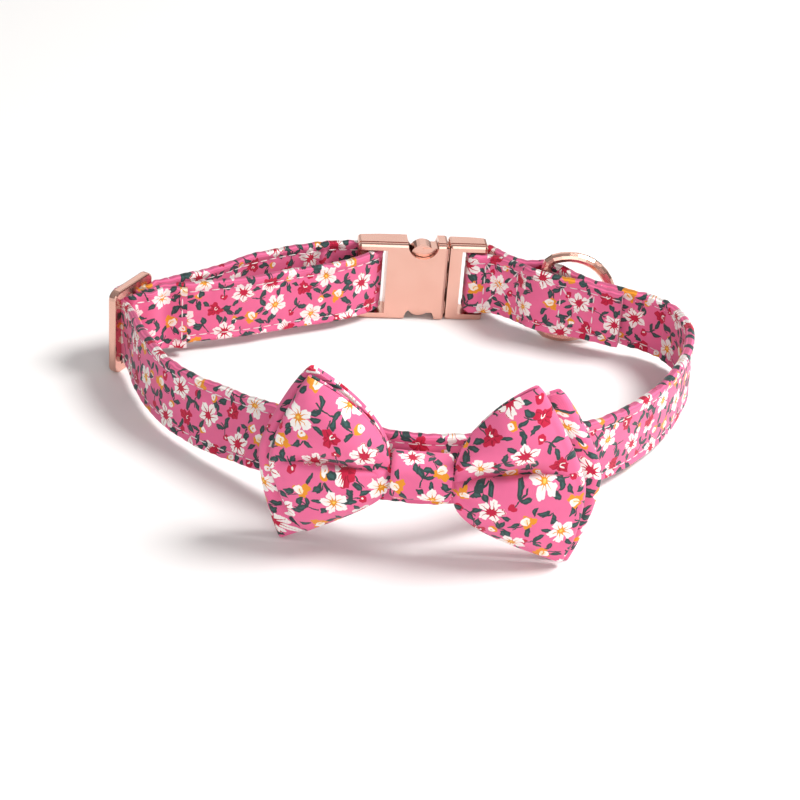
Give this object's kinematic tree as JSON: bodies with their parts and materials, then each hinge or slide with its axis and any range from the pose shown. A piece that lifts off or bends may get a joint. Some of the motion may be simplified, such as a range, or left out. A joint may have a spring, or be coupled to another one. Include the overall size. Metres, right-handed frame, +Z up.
{
  "type": "pet bow tie collar",
  "caption": "Printed cloth pet collar with a double bow tie, a metal side-release buckle, a three-bar slider and a D-shaped leash ring, standing on its edge.",
  "frame": {"origin": "middle of the collar's footprint, on the surface that it stands on", "axes": "+Z up, the strap's width upright; -Y towards the bow; +X towards the D-ring's side, to the right as seen from the bow"},
  "size_m": [0.1712, 0.1474, 0.0524],
  "materials": {
    "strap_print": "matt printed cotton over webbing",
    "bow_print": "matt printed cotton",
    "metal": "polished rose gold plating on zinc alloy"
  },
  "bodies": {
    "collar": {"strap": "strap_print", "buckle_socket": "metal", "buckle_plug": "metal", "slider": "metal", "bow_front": "bow_print", "bow_back": "bow_print", "bow_knot": "bow_print"},
    "ring": {"d_ring": "metal"}
  },
  "joints": [
    {"name": "ring_swing", "type": "hinge", "parent": "collar", "child": "ring", "pos_m": [0.0416, 0.05556, 0.0153], "axis": [0, 0, 1], "range_deg": [0, 110]}
  ]
}
